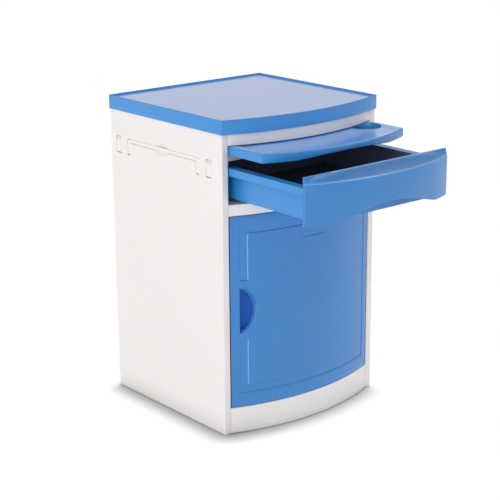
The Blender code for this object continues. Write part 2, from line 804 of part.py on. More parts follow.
def handle_block(name, shrink, front_depth, back_depth, look=None, origin=(0, 0, 0)):
    """A half-moon block that follows the door's bow between two depths under its face."""
    reach = HANDLE_REACH - 2 * shrink
    height = HANDLE_HALF_HEIGHT - shrink
    sections = []
    for index in range(HANDLE_COLUMNS + 1):
        turn = math.pi / 2 * index / (HANDLE_COLUMNS + 0.5)
        x = HANDLE_FLAT_X + shrink + reach * math.sin(turn)
        tall = height * math.cos(turn)
        front, back = door_face(x) + front_depth, door_face(x) + back_depth
        low, high = HANDLE_Z - tall, HANDLE_Z + tall
        sections.append([(x, front, low), (x, back, low), (x, back, high), (x, front, high)])
    return loft(name, sections, look, origin)


def door_outline(name, x_range, z_range, front_depth, back_depth, look=None, origin=(0, 0, 0)):
    """A bowed panel on the door's face, between two depths under it."""
    return bowed_block(
        name,
        *x_range,
        z_range,
        lambda x: door_face(x) + front_depth,
        lambda x: door_face(x) + back_depth,
        look,
        origin,
    )


def rounded_field(name, edges, corner, front_depth, back_depth):
    """A block that follows the door's bow, whose outline is a rectangle with round corners."""
    half, bottom, top = edges
    turns = spread(0, math.pi / 2, CORNER_STEPS)
    reach = [half - corner * (1 - math.sin(turn)) for turn in turns]
    columns = [(-x, corner * (1 - math.cos(turn))) for x, turn in zip(reversed(reach), reversed(turns))]
    columns += [(x, 0.0) for x in spread(-reach[0], reach[0])[1:-1]]
    columns += [(x, corner * (1 - math.cos(turn))) for x, turn in zip(reach, turns)]
    sections = []
    for x, cut in columns:
        near, far = door_face(x) + front_depth, door_face(x) + back_depth
        low, high = bottom + cut, top - cut
        sections.append([(x, near, low), (x, far, low), (x, far, high), (x, near, high)])
    return loft(name, sections)


def door_channel():
    """The shallow channel round the door's middle field, broken by the boss round the handle."""
    channel = rounded_field("cut_door_channel", CHANNEL_OUTER, CHANNEL_CORNER, -SKIN, CHANNEL_DEPTH)
    field = rounded_field("cut_channel_field", CHANNEL_INNER, FIELD_CORNER, -2 * SKIN, 2 * SKIN)
    boolean(channel, field)
    boss = HANDLE_HALF_HEIGHT + HANDLE_BOSS
    boss_low = (-DOOR_HALF, CORNER_Y - BOW, HANDLE_Z - boss)
    boss_high = (-CHANNEL_INNER[0] + SKIN, CORNER_Y + SKIN, HANDLE_Z + boss)
    cut_box(channel, "channel_boss", boss_low, boss_high)
    return channel


def door():
    hinge = (HINGE_X, CORNER_Y + HINGE_INSET, DOOR_BOTTOM)
    full = (DOOR_BOTTOM, DOOR_TOP)
    shell = door_outline("door_shell", (-DOOR_HALF, DOOR_HALF), full, 0, DOOR_THICKNESS, BLUE, hinge)
    round_corners(shell, DOOR_EDGE_RADIUS, lambda x, y: x > DOOR_HALF - HINGE_X - GAP)
    inner = (DOOR_BOTTOM + DOOR_SKIN, DOOR_TOP - DOOR_SKIN)
    hollow = (-DOOR_HALF + DOOR_SKIN, DOOR_HALF - HINGE_BLOCK)
    past_back = DOOR_THICKNESS + SKIN
    boolean(shell, door_outline("cut_door_inside", hollow, inner, DOOR_SKIN, past_back))
    boolean(shell, handle_block("cut_door_handle", 0, -SKIN, past_back))
    boolean(shell, door_channel())
    label = (LABEL_Z - LABEL_HALF_HEIGHT, LABEL_Z + LABEL_HALF_HEIGHT)
    label_front, label_back = door_face(0) - SKIN, door_face(LABEL_HALF) + CHANNEL_DEPTH
    label_low = (-LABEL_HALF, label_front, label[0])
    cut_box(shell, "door_label", label_low, (LABEL_HALF, label_back, label[1]))
    bore_radius = HINGE_PIN_RADIUS + BUSH_WALL + 2 * GAP
    for end, low, high in (
        ("bottom", DOOR_BOTTOM - SKIN, DOOR_BOTTOM + HINGE_PIN_REACH),
        ("top", DOOR_TOP - HINGE_PIN_REACH, DOOR_TOP + SKIN),
    ):
        boolean(shell, round_bar(f"cut_hinge_{end}", "Z", hinge[:2], bore_radius, low, high))
    door_outline(
        "door_liner",
        (hollow[0] + GAP, hollow[1] - GAP),
        (inner[0] + GAP, inner[1] - GAP),
        DOOR_THICKNESS - LINER_THICKNESS,
        DOOR_THICKNESS,
        BLUE,
        hinge,
    )
    cup = handle_block("handle_cup", GAP, GAP, HANDLE_DEPTH + CUP_WALL, DEEP_BLUE, hinge)
    boolean(cup, handle_block("cut_handle_cup", GAP + CUP_WALL, -SKIN, HANDLE_DEPTH))


def hinge_parts():
    centre = (HINGE_X, CORNER_Y + HINGE_INSET)
    bush_outer = HINGE_PIN_RADIUS + GAP + BUSH_WALL
    spans = {
        "bottom": (PLINTH_TOP - SKIN, DOOR_BOTTOM + HINGE_PIN_REACH - HINGE_PIN_SPARE),
        "top": (DOOR_TOP - HINGE_PIN_REACH + HINGE_PIN_SPARE, LOWER_RAIL[0] + SKIN),
    }
    bushes = {
        "bottom": (DOOR_BOTTOM, DOOR_BOTTOM + HINGE_PIN_REACH - GAP),
        "top": (DOOR_TOP - HINGE_PIN_REACH + GAP, DOOR_TOP),
    }
    for end, (low, high) in spans.items():
        round_bar(f"hinge_pin_{end}", "Z", centre, HINGE_PIN_RADIUS, low, high, STEEL)
        floor, roof = bushes[end]
        origin = (*centre, floor)
        name = f"hinge_bush_{end}"
        bush = round_bar(name, "Z", centre, bush_outer, floor, roof, RUNNER, 20, origin)
        bore = round_bar(
            f"cut_bush_{end}",
            "Z",
            centre,
            HINGE_PIN_RADIUS + GAP,
            floor - SKIN,
            roof + SKIN,
        )
        boolean(bush, bore)


def catch_parts():
    """The magnet under the lower rail and the steel plate that it holds, on the back of the door."""
    hinge = (HINGE_X, CORNER_Y + HINGE_INSET, DOOR_BOTTOM)
    plate_front = door_face(CATCH_X - CATCH_HALF) + DOOR_THICKNESS + GAP
    plate_back = plate_front + STRIKE_THICKNESS
    left, right = CATCH_X - CATCH_HALF, CATCH_X + CATCH_HALF
    plate_low = (left, plate_front, STRIKE_Z[0])
    box("strike_plate", plate_low, (right, plate_back, STRIKE_Z[1]), STEEL, hinge)
    low = (left, plate_back + RUNNING_GAP, MAGNET_BOTTOM)
    high = (right, plate_back + MAGNET_DEPTH, LOWER_RAIL[0] - GAP)
    box("magnet_catch", low, high, MAGNET)


def feet():
    for side, word in ((-1, "left"), (1, "right")):
        for end, y in (("front", CORNER_Y + FOOT_FROM_END), ("rear", BACK_Y - FOOT_FROM_END)):
            reach = sorted((side * (INNER_HALF + FOOT_INSET), side * (HALF - FOOT_INSET)))
            low = (reach[0], y - FOOT_HALF, 0.0)
            box(f"foot_{end}_{word}", low, (reach[1], y + FOOT_HALF, FOOT_HEIGHT - GAP), RUBBER)


def main():
    clear_scene()
    top_tray()
    for side in (-1, 1):
        side_panel(side)
        towel_bar(side)
        pivot_pins(side)
        for end in ("front", "rear"):
            hook(side, end)
    back_panel()
    front_rails()
    inner_panels()
    shelf_studs()
    runners()
    dining_board()
    drawer_front()
    drawer_box()
    door()
    hinge_parts()
    catch_parts()
    screws()
    feet()


main()
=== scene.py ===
"""Looks of the hospital bedside cabinet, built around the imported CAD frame."""

import functools
import json
import math

import bmesh
import bpy
from mathutils import Matrix, Vector


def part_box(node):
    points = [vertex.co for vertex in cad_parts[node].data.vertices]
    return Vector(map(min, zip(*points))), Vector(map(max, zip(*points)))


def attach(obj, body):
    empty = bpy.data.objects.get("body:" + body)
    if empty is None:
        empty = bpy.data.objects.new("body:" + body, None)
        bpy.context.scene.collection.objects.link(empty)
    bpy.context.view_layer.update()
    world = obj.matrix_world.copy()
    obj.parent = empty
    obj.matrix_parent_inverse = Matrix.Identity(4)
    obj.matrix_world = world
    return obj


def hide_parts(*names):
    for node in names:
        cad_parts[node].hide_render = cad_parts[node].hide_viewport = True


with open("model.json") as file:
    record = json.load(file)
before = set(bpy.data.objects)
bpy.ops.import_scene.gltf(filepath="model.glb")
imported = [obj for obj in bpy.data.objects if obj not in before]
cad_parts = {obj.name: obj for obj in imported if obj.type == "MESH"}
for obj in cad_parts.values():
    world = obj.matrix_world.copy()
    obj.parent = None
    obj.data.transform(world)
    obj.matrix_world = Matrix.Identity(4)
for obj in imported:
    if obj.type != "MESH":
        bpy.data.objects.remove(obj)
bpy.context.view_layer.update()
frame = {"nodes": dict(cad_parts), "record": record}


@functools.cache
def box(node):
    """The node's lowest and highest corners at rest."""
    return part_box(node)


# ---------------------------------------------------------------- places read from the frame
BODY_LOW, BODY_HIGH = box("side_panel_left")
BACK_Y = BODY_HIGH.y
CORNER_Y = BODY_LOW.y
MIDDLE_Y = (BACK_Y + CORNER_Y) / 2


# ---------------------------------------------------------------- mesh helpers
def link(name, mesh):
    made = bpy.data.objects.new(name, mesh)
    bpy.context.scene.collection.objects.link(made)
    return made


def evaluated(obj):
    """The object's mesh with its modifiers applied, as a new mesh."""
    graph = bpy.context.evaluated_depsgraph_get()
    graph.update()
    return bpy.data.meshes.new_from_object(obj.evaluated_get(graph), depsgraph=graph)


def apply_modifiers(obj):
    mesh = evaluated(obj)
    obj.modifiers.clear()
    obj.data = mesh


def loft(name, *shells):
    """Closed solids, each one through sections that all have the same number of points."""
    shape = bmesh.new()
    for sections in shells:
        rings = [[shape.verts.new(point) for point in section] for section in sections]
        for ring, following in zip(rings, rings[1:]):
            for index in range(len(ring)):
                after = (index + 1) % len(ring)
                shape.faces.new((ring[index], ring[after], following[after], following[index]))
        shape.faces.new(rings[0])
        shape.faces.new(rings[-1])
    bmesh.ops.recalc_face_normals(shape, faces=shape.faces)
    mesh = bpy.data.meshes.new(name)
    shape.to_mesh(mesh)
    shape.free()
    return link(name, mesh)


def smooth_shade(obj, angle=35):
    obj.data.shade_smooth()
    obj.data.set_sharp_from_angle(angle=math.radians(angle))
    return obj


def cut(obj, tool):
    """Cuts the tool out of the object, and removes the tool."""
    change = obj.modifiers.new("cut", "BOOLEAN")
    change.operation = "DIFFERENCE"
    change.solver = "EXACT"
    change.object = tool
    apply_modifiers(obj)
    bpy.data.objects.remove(tool, do_unlink=True)


def ease(value):
    """0 up to 0, 1 from 1 on, and a smooth step between."""
    held = min(max(value, 0.0), 1.0)
    return held * held * (3 - 2 * held)


def arc(x, half, rise):
    """How far a front's arc over this half-width stands forward of its ends, at x."""
    radius = (half * half + rise * rise) / (2 * rise)
    reach = min(abs(x), half)
    return math.sqrt(radius * radius - reach * reach) - (radius - rise)


def quarter(distance, radius):
    """How deep a rounded edge lies at this distance from the border."""
    inside = max(radius - distance, 0.0)
    return radius - math.sqrt(max(radius * radius - inside * inside, 0.0))


def spread(low, high, count):
    return [low + (high - low) * index / count for index in range(count + 1)]


def circle(x, y, radius, z, count):
    """A ring of points round an upright axis."""
    turns = spread(0, 2 * math.pi, count)[:-1]
    return [(x + radius * math.cos(turn), y + radius * math.sin(turn), z) for turn in turns]


def columns(half, count, radius):
    """x from -half to half, with close steps at the rounded ends."""
    ends = [half - radius * (1 - math.sin(turn)) for turn in spread(0, math.pi / 2, 5)]
    return [-x for x in reversed(ends)] + spread(-ends[0], ends[0], count)[1:-1] + ends


def rounded(points, radii, steps=4):
    """The outline with each corner turned into a curve of its radius."""
    outline = []
    corners = [Vector(point) for point in points]
    for index, (corner, radius) in enumerate(zip(corners, radii)):
        if not radius:
            outline.append(tuple(corner))
            continue
        before = corners[index - 1] - corner
        after = corners[(index + 1) % len(corners)] - corner
        reach = radius / math.tan(before.angle(after) / 2)
        reach = min(reach, before.length * 0.49, after.length * 0.49)
        start = corner + before.normalized() * reach
        end = corner + after.normalized() * reach
        for step in spread(0, 1, steps):
            outline.append(tuple(start.lerp(corner, step).lerp(corner.lerp(end, step), step)))
    return outline


MOULDING_SEGMENTS = 3
BEVEL_ANGLE = math.radians(30)
SHADING_ANGLE = math.radians(50)


def soften(obj, width):
    """Bevels the sharp edges and shades the rest smooth, with flat faces kept flat."""
    bevel = obj.modifiers.new("edges", "BEVEL")
    bevel.width = width
    bevel.segments = MOULDING_SEGMENTS
    bevel.limit_method = "ANGLE"
    bevel.angle_limit = BEVEL_ANGLE
    bevel.miter_outer = "MITER_ARC"
    bevel.use_clamp_overlap = True
    apply_modifiers(obj)
    obj.data.shade_smooth()
    obj.data.set_sharp_from_angle(angle=SHADING_ANGLE)
    weighted = obj.modifiers.new("weighted", "WEIGHTED_NORMAL")
    weighted.keep_sharp = True
    weighted.mode = "FACE_AREA"
    return obj


SAME_POINT = 2e-5
SAME_PLANE = math.radians(0.4)


def clean_copy(node, name):
    """A copy of a CAD node's mesh with its flat faces whole again."""
    shape = bmesh.new()
    shape.from_mesh(frame["nodes"][node].data)
    bmesh.ops.remove_doubles(shape, verts=shape.verts, dist=SAME_POINT)
    bmesh.ops.dissolve_limit(
        shape,
        angle_limit=SAME_PLANE,
        use_dissolve_boundaries=False,
        verts=shape.verts,
        edges=shape.edges,
    )
    mesh = bpy.data.meshes.new(name)
    shape.to_mesh(mesh)
    shape.free()
    return link(name, mesh)


def dress(obj, look):
    obj.data.materials.clear()
    obj.data.materials.append(look)


BODY_OF = {
    node: body
    for body, members in frame["record"]["behaviour"]["bodies"].items()
    for node in members
}


def stand_for(node, piece, look):
    """The piece rides on the node's body and takes the node's place."""
    dress(piece, look)
    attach(piece, BODY_OF[node])
    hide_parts(node)
    return piece


def refined(node, width, look):
    """The node's own shape with rounded edges, standing for the CAD solid."""
    piece = clean_copy(node, f"{node}_moulding")
    soften(piece, width)
    return stand_for(node, piece, look)


# ---------------------------------------------------------------- materials
def nodes_of(name):
    """A new material, its node tree and its shader."""
    made = bpy.data.materials.new(name)
    made.use_nodes = True
    tree = made.node_tree
    return made, tree, tree.nodes["Principled BSDF"]


def noise(tree, scale, detail):
    """A noise value fixed to the object, so it stays on the surface as the piece moves."""
    coords = tree.nodes.new("ShaderNodeTexCoord")
    texture = tree.nodes.new("ShaderNodeTexNoise")
    texture.inputs["Scale"].default_value = scale
    texture.inputs["Detail"].default_value = detail
    tree.links.new(coords.outputs["Object"], texture.inputs["Vector"])
    return texture.outputs["Fac"]


NOISE_LOW = 0.3
NOISE_HIGH = 0.7


def remap(tree, value, low, high):
    """The noise value, stretched to run from low to high."""
    node = tree.nodes.new("ShaderNodeMapRange")
    node.inputs["From Min"].default_value = NOISE_LOW
    node.inputs["From Max"].default_value = NOISE_HIGH
    node.inputs["To Min"].default_value = low
    node.inputs["To Max"].default_value = high
    tree.links.new(value, node.inputs["Value"])
    return node.outputs["Result"]


def ramp(tree, value, low, high):
    """The noise value, as a colour between low and high."""
    node = tree.nodes.new("ShaderNodeValToRGB")
    node.color_ramp.elements[0].position = NOISE_LOW
    node.color_ramp.elements[0].color = (*low, 1)
    node.color_ramp.elements[1].position = NOISE_HIGH
    node.color_ramp.elements[1].color = (*high, 1)
    tree.links.new(value, node.inputs["Fac"])
    return node.outputs["Color"]


def bump(tree, value, distance, strength, under=None):
    node = tree.nodes.new("ShaderNodeBump")
    node.inputs["Strength"].default_value = strength
    node.inputs["Distance"].default_value = distance
    tree.links.new(value, node.inputs["Height"])
    if under:
        tree.links.new(under, node.inputs["Normal"])
    return node.outputs["Normal"]


PLASTIC_IOR = 1.53
FLOW_SCALE = 4.0
GLOSS_SCALE = 22.0
SPARK_SCALE = 1800.0
SPARK_DEPTH = 0.00004
WAVE_SCALE = 9.0
WAVE_DEPTH = 0.0006


def moulded(name, colour, roughness, coat, flow, ior=PLASTIC_IOR):
    """Injection-moulded plastic: faint flow marks, a fine spark texture and a slow waviness."""
    made, tree, shader = nodes_of(name)
    low = tuple(channel * (1 - flow) for channel in colour)
    high = tuple(min(channel * (1 + flow), 1.0) for channel in colour)
    tree.links.new(ramp(tree, noise(tree, FLOW_SCALE, 3.0), low, high), shader.inputs["Base Color"])
    rough = remap(tree, noise(tree, GLOSS_SCALE, 3.0), roughness - 0.03, roughness + 0.05)
    tree.links.new(rough, shader.inputs["Roughness"])
    spark = bump(tree, noise(tree, SPARK_SCALE, 1.0), SPARK_DEPTH, 0.5)
    wave = bump(tree, noise(tree, WAVE_SCALE, 1.0), WAVE_DEPTH, 0.35, spark)
    tree.links.new(wave, shader.inputs["Normal"])
    shader.inputs["IOR"].default_value = ior
    shader.inputs["Coat Weight"].default_value = coat
    shader.inputs["Coat Roughness"].default_value = 0.16
    return made


def metal(name, colour, roughness):
    """Plated steel: fine colour and gloss variation with a shallow grain."""
    made, tree, shader = nodes_of(name)
    shader.inputs["Metallic"].default_value = 1.0
    low = tuple(channel * 0.9 for channel in colour)
    tree.links.new(ramp(tree, noise(tree, 260.0, 3.0), low, colour), shader.inputs["Base Color"])
    rough = remap(tree, noise(tree, 120.0, 3.0), roughness - 0.06, roughness + 0.1)
    tree.links.new(rough, shader.inputs["Roughness"])
    tree.links.new(bump(tree, noise(tree, 900.0, 2.0), 0.00005, 0.4), shader.inputs["Normal"])
    return made


WHITE = moulded("white_plastic", (0.80, 0.768, 0.758), 0.36, 0.25, 0.008)
BLUE = moulded("blue_plastic", (0.024, 0.245, 0.63), 0.32, 0.25, 0.03)
# painted sheen: a lighter, more reflective copy of the blue for the tray's deck, standing in for the light
# its top catches
TRAY_PAINTED_SHEEN = moulded("tray_deck_painted_sheen", (0.070, 0.29, 0.95), 0.16, 1.0, 0.02, ior=2.7)
# painted shade: a darker copy of the blue for the door and drawer front, whose faces lie in more shade
# than the sides
SHADED_FRONT_BLUE = moulded("front_blue_painted_shade", (0.022, 0.200, 0.55), 0.33, 0.25, 0.03)
# painted highlight: a light blue for thin lines on the drawer's lip and ridge, the door channel's inner
# wall and the cup's ring
PAINTED_HIGHLIGHT = moulded("blue_painted_highlight", (0.10, 0.38, 0.80), 0.20, 1.0, 0.02)
# painted sheen: a lighter copy of the blue for the board's top faces
BOARD_PAINTED_SHEEN = moulded("board_top_painted_sheen", (0.060, 0.36, 1.0), 0.21, 0.9, 0.02)
# painted shade: a dark blue for the handle's cup, standing in for shade in the recess
CUP_PAINTED_SHADE = moulded("cup_painted_shade", (0.004, 0.085, 0.40), 0.48, 0.0, 0.04, ior=1.3)
# painted shade: a mid blue for the cup's slope along its arc, lighter than the cup's shaded floor
CUP_SLOPE_PAINTED_SHADE = moulded("cup_slope_painted_shade", (0.008, 0.125, 0.45), 0.45, 0.0, 0.04)
# painted shade: near-black for the door's free edge, standing in for the dark gap beside the post
GAP_PAINTED_SHADE = moulded("door_gap_painted_shade", (0.010, 0.016, 0.045), 0.60, 0.0, 0.10)
# painted shade: a dark blue-grey for the tub's inner walls and floor, standing in for the shade inside the
# drawer
TUB_PAINTED_SHADE = moulded("tub_inside_painted_shade", (0.10, 0.11, 0.19), 0.60, 0.0, 0.10)
RUNNER = moulded("runner_plastic", (0.62, 0.62, 0.60), 0.42, 0.0, 0.03)
BLACK = moulded("magnet_case", (0.025, 0.025, 0.027), 0.45, 0.0, 0.1)
RUBBER = moulded("foot_rubber", (0.045, 0.045, 0.05), 0.75, 0.0, 0.12)
STEEL = metal("zinc_steel", (0.60, 0.60, 0.61), 0.32)


# ---------------------------------------------------------------- pieces kept in the CAD shape
THIN_EDGE = 0.0008
PANEL_EDGE = 0.0010
HANDLED_EDGE = 0.0012
# how much each piece's edges are rounded
EDGE_OF = {
    "back_panel": THIN_EDGE,
    "top_rail": PANEL_EDGE,
    "middle_rail": PANEL_EDGE,
    "lower_rail": PANEL_EDGE,
    "plinth": PANEL_EDGE,
    "cupboard_floor": PANEL_EDGE,
    "drawer_deck": PANEL_EDGE,
    "cupboard_shelf": HANDLED_EDGE,
    "towel_bar_left": HANDLED_EDGE,
    "towel_bar_right": HANDLED_EDGE,
    "hook_left_front": HANDLED_EDGE,
    "hook_left_rear": HANDLED_EDGE,
    "hook_right_front": HANDLED_EDGE,
    "hook_right_rear": HANDLED_EDGE,
}


def white_pieces():
    for node, width in EDGE_OF.items():
        refined(node, width, WHITE)


# ---------------------------------------------------------------- side panels
POST_DEPTH = 0.020
PANEL = 0.014
PANEL_RADII = (0.0030, 0.0020, 0.0010, 0.0015, 0.0010, 0.0012)
PEG_GAP = 0.0003
POCKET_GAP = 0.00065
POCKET_OVERSHOOT = 0.003
HEAD_GAP = 0.0012
FLUSH = 0.0003
BAR_WIDTH = 0.0095
BAR_CORNER = 0.0075
BAR_NOOK = 0.001
HOOK_CORNER = 0.0055
SCOOP_HALF = 0.026
SCOOP_HALF_HEIGHT = 0.0145
SCOOP_DEPTH = 0.0045
SCOOP_END = 0.15
SCOOP_OVERSHOOT = 0.004
# bottom and top of each row of pockets in the panel's inner face
LIGHT_ROWS = ((0.080, 0.170), (0.182, 0.274), (0.326, 0.416), (0.428, 0.520))
LIGHT_COLUMNS = 3
LIGHT_SKIN = 0.0035
LIGHT_RIB = 0.020
LIGHT_CORNER = 0.004
LIGHT_FROM_POST = 0.0103
LIGHT_FROM_BACK = 0.0195


def across(name, outline, reach):
    """An outline in y and z, extruded along x."""
    return loft(name, [[(x, y, z) for y, z in outline] for x in reach])


def peg_hole(node, axis):
    """A round tool a little larger than the named peg, along its axis."""
    low, high = box(node)
    middle = (low + high) / 2
    size = high - low
    radius = (size.x if axis == "y" else size.y) / 2 + PEG_GAP
    rings = []
    for end in (-1, 1):
        ring = []
        for turn in spread(0, 2 * math.pi, 16)[:-1]:
            a, b = radius * math.cos(turn), radius * math.sin(turn)
            if axis == "y":
                ring.append((middle.x + a, middle.y + end * (size.y / 2 + PEG_GAP), middle.z + b))
            else:
                ring.append((middle.x + end * (size.x / 2 + PEG_GAP), middle.y + a, middle.z + b))
        rings.append(ring)
    return loft("peg_tool", rings)


def bar_pocket(word, reach):
    """The groove round the towel bar: a bridge over two legs."""
    low, high = box(f"towel_bar_{word}")
    front, back = low.y - POCKET_GAP, high.y + POCKET_GAP
    foot, top = low.z - POCKET_GAP, high.z + POCKET_GAP
    leg, under = BAR_WIDTH + 2 * POCKET_GAP, high.z - BAR_WIDTH - POCKET_GAP
    points = [(front, foot), (front, top), (back, top), (back, foot)]
    points += [(back - leg, foot), (back - leg, under), (front + leg, under), (front + leg, foot)]
    radii = [0, BAR_CORNER, BAR_CORNER, 0, 0, BAR_NOOK, BAR_NOOK, 0]
    return across("bar_tool", rounded(points, radii), reach)


def hook_pocket(node, reach):
    """The groove round a hook, deeper above its head so that it can tip out."""
    low, high = box(node)
    front, back, foot = low.y - POCKET_GAP, high.y + POCKET_GAP, low.z - POCKET_GAP
    top = high.z + POCKET_GAP + HEAD_GAP
    points = [(front, foot), (front, top), (back, top), (back, foot)]
    return across("hook_tool", rounded(points, [0, HOOK_CORNER, HOOK_CORNER, 0]), reach)


def scoop_tool(word, outer, side):
    """A shallow dish round the middle of the towel bar."""
    low, high = box(f"towel_bar_{word}")
    middle, height = (low.y + high.y) / 2, high.z - BAR_WIDTH / 2
    beyond = outer + side * SCOOP_OVERSHOOT
    sections = []
    for step in spread(-1, 1, 28):
        size = SCOOP_END + (1 - SCOOP_END) * math.sqrt(max(1 - step * step, 0.0))
        y, tall = middle + SCOOP_HALF * step, SCOOP_HALF_HEIGHT * size
        section = []
        for turn in spread(-math.pi / 2, math.pi / 2, 16):
            deep = SCOOP_DEPTH * size * max(math.cos(turn), 0.0) ** 1.6
            section.append((outer - side * deep, y, height + tall * math.sin(turn)))
        sections.append(section + [(beyond, y, height + tall), (beyond, y, height - tall)])
    return loft("scoop_tool", sections)


def panel_blank(name, low, high, side):
    """The panel's plan, run up from the floor: its front edge turns in as a rounded post."""
    outer, post = (low.x, high.x) if side < 0 else (high.x, low.x)
    inner, post_back = outer - side * PANEL, CORNER_Y + POST_DEPTH
    plan = [(outer, CORNER_Y), (outer, BACK_Y), (inner, BACK_Y)]
    plan += [(inner, post_back), (post, post_back), (post, CORNER_Y)]
    outline = rounded(plan, PANEL_RADII, 5)
    return loft(name, [[(x, y, z) for x, y in outline] for z in (low.z, high.z)])


def lighten(panel, outer, side):
    """Shallow pockets between the ribs of the panel's inner face."""
    start, stop = CORNER_Y + POST_DEPTH + LIGHT_FROM_POST, BACK_Y - LIGHT_FROM_BACK
    width = (stop - start - (LIGHT_COLUMNS - 1) * LIGHT_RIB) / LIGHT_COLUMNS
    reach = (outer - side * LIGHT_SKIN, outer - side * (PANEL + LIGHT_SKIN))
    for column in range(LIGHT_COLUMNS):
        front = start + column * (width + LIGHT_RIB)
        back = front + width
        for bottom, top in LIGHT_ROWS:
            points = [(front, bottom), (front, top), (back, top), (back, bottom)]
            cut(panel, across("light_tool", rounded(points, [LIGHT_CORNER] * 4, 3), reach))


def side_panel(side, word):
    """A hollowed panel with a pocket for each fold-out piece and a hole for each peg."""
    node = f"side_panel_{word}"
    low, high = box(node)
    outer = low.x if side < 0 else high.x
    panel = panel_blank(f"{node}_moulding", low, high, side)
    for pin in ("bar_front", "bar_rear", "hook_front", "hook_rear"):
        cut(panel, peg_hole(f"pin_{word}_{pin}", "y"))
    for end in ("front", "rear"):
        cut(panel, peg_hole(f"shelf_stud_{word}_{end}", "x"))
    cut(panel, scoop_tool(word, outer, side))
    bar_low, bar_high = box(f"towel_bar_{word}")
    depth = FLUSH + (bar_high.x - bar_low.x) + POCKET_GAP
    reach = (outer + side * POCKET_OVERSHOOT, outer - side * depth)
    cut(panel, bar_pocket(word, reach))
    for end in ("front", "rear"):
        cut(panel, hook_pocket(f"hook_{word}_{end}", reach))
    lighten(panel, outer, side)
    smooth_shade(panel)
    stand_for(node, panel, WHITE)


# ---------------------------------------------------------------- small parts
def small_parts():
    """Fasteners, runners and pads keep their CAD solids, with a finished material."""
    looks = {"steel": STEEL, "runner_plastic": RUNNER, "magnet_black": BLACK, "rubber": RUBBER}
    for row in frame["record"]["subparts"]:
        node, slot = row["node"], row["material_slot"]
        if slot in looks:
            shown = frame["nodes"][node]
            shown.data.materials.clear()
            shown.data.materials.append(looks[slot])


# ---------------------------------------------------------------- tray top
BOW = 0.044
TRAY_CORNER = 0.006
# inset and height of each ring, from under the rim, up its side and over the lip to the deck
TRAY_SECTION = (
    (0.0027, -0.0085),
    (0.0027, -0.0330),
    (0.0022, -0.0335),
    (0.0006, -0.0335),
    (0.0000, -0.0329),
    (0.0000, -0.0016),
    (0.0002, -0.0009),
    (0.0007, -0.0003),
    (0.0014, 0.0000),
    (0.0030, 0.0000),
    (0.0036, -0.0003),
    (0.0040, -0.0009),
    (0.0042, -0.0028),
    (0.0046, -0.0036),
    (0.0056, -0.0040),
    (0.0062, -0.0040),
    (0.0070, -0.0040),
)
TRAY_STEPS = 48
SMALLEST_CORNER = 0.001


def tray_ring(inset, height):
    """The tray's plan at this inset: straight back and sides, a bowed front, and round corners."""
    low, high = box("top_tray")
    half, back = high.x - inset, high.y - inset
    front = low.y + BOW + inset
    plan = [(x, front - arc(x, half, BOW)) for x in spread(-half, half, TRAY_STEPS)]
    plan += [(half, back), (-half, back)]
    radius = max(TRAY_CORNER - inset, SMALLEST_CORNER)
    radii = [radius] + [0] * (TRAY_STEPS - 1) + [radius, radius, radius]
    return [(x, y, high.z + height) for x, y in rounded(plan, radii, 6)]


def tray():
    """One moulding from the rim's underside to the deck, which gets a lighter, glossier blue as painted
    sheen.
    """
    piece = loft("tray_moulding", [tray_ring(inset, height) for inset, height in TRAY_SECTION])
    smooth_shade(piece, 40)
    stand_for("top_tray", piece, BLUE)
    piece.data.materials.append(TRAY_PAINTED_SHEEN)
    # the deck, the largest upward face, takes the painted sheen
    deck = max(piece.data.polygons, key=lambda face: face.area * face.normal.z)
    deck.material_index = 1


# ---------------------------------------------------------------- dining board
BOARD_ARC = 0.049
BOARD_ROUND = 0.0016
BOARD_SUNK = 0.0012
BOARD_BORDER = 0.022
BOARD_LIP = 0.006
BOARD_SLOPE = 0.006
BOARD_SIDE_SLOPE = 0.004
BOARD_NOSE = 0.0034
BOARD_BACK = 0.001
# distances behind the board's nose, close together where the top slopes down from the lip
BOARD_ROWS = (0.36, 0.30, 0.24, 0.18, 0.13, 0.09, 0.06, 0.04, 0.025)
BOARD_SLOPE_ROWS = (0.016, 0.0125, 0.0105, 0.009, 0.0075)
GRIP_HALF = 0.145
GRIP_RISE = 0.009
GRIP_EDGE = 0.0014
CUP_X = 0.170
CUP_RADIUS = 0.038
CUP_DEPTH = 0.010
CUP_BEHIND = 0.077
CUP_LIP = 0.0016
CUP_TAPER = 0.001
CUP_FILLET = 0.005
CUP_RAISED = 0.0006
CUP_OVERSHOOT = 0.004


def board_section(x):
    """The board's outline in y and z: a sunken top behind its lip, and a rising scallop below."""
    low, high = box("dining_board")
    corner = low.y + BOARD_ARC
    cut_back = quarter(high.x - abs(x), BOARD_ROUND)
    front = corner - arc(x, high.x, BOARD_ARC) + cut_back
    back, top, bottom = high.y - cut_back, high.z - cut_back, low.z + cut_back
    grip = bottom + GRIP_RISE * max(math.cos(math.pi * min(abs(x) / GRIP_HALF, 1.0) / 2), 0.01)
    points = [(back, bottom), (back, top)]
    radii = [BOARD_BACK, BOARD_BACK]
    side = ease((high.x - abs(x) - BOARD_BORDER) / BOARD_SIDE_SLOPE)
    for distance in BOARD_ROWS + BOARD_SLOPE_ROWS:
        sunk = BOARD_SUNK * side * ease((distance - BOARD_LIP) / BOARD_SLOPE)
        points.append((front + distance, top - sunk))
        radii.append(0)
    points += [(front, top), (front, grip), (corner, grip), (corner, bottom)]
    radii += [BOARD_NOSE, GRIP_EDGE, 0, 0]
    return [(x, y, z) for y, z in rounded(points, radii)]


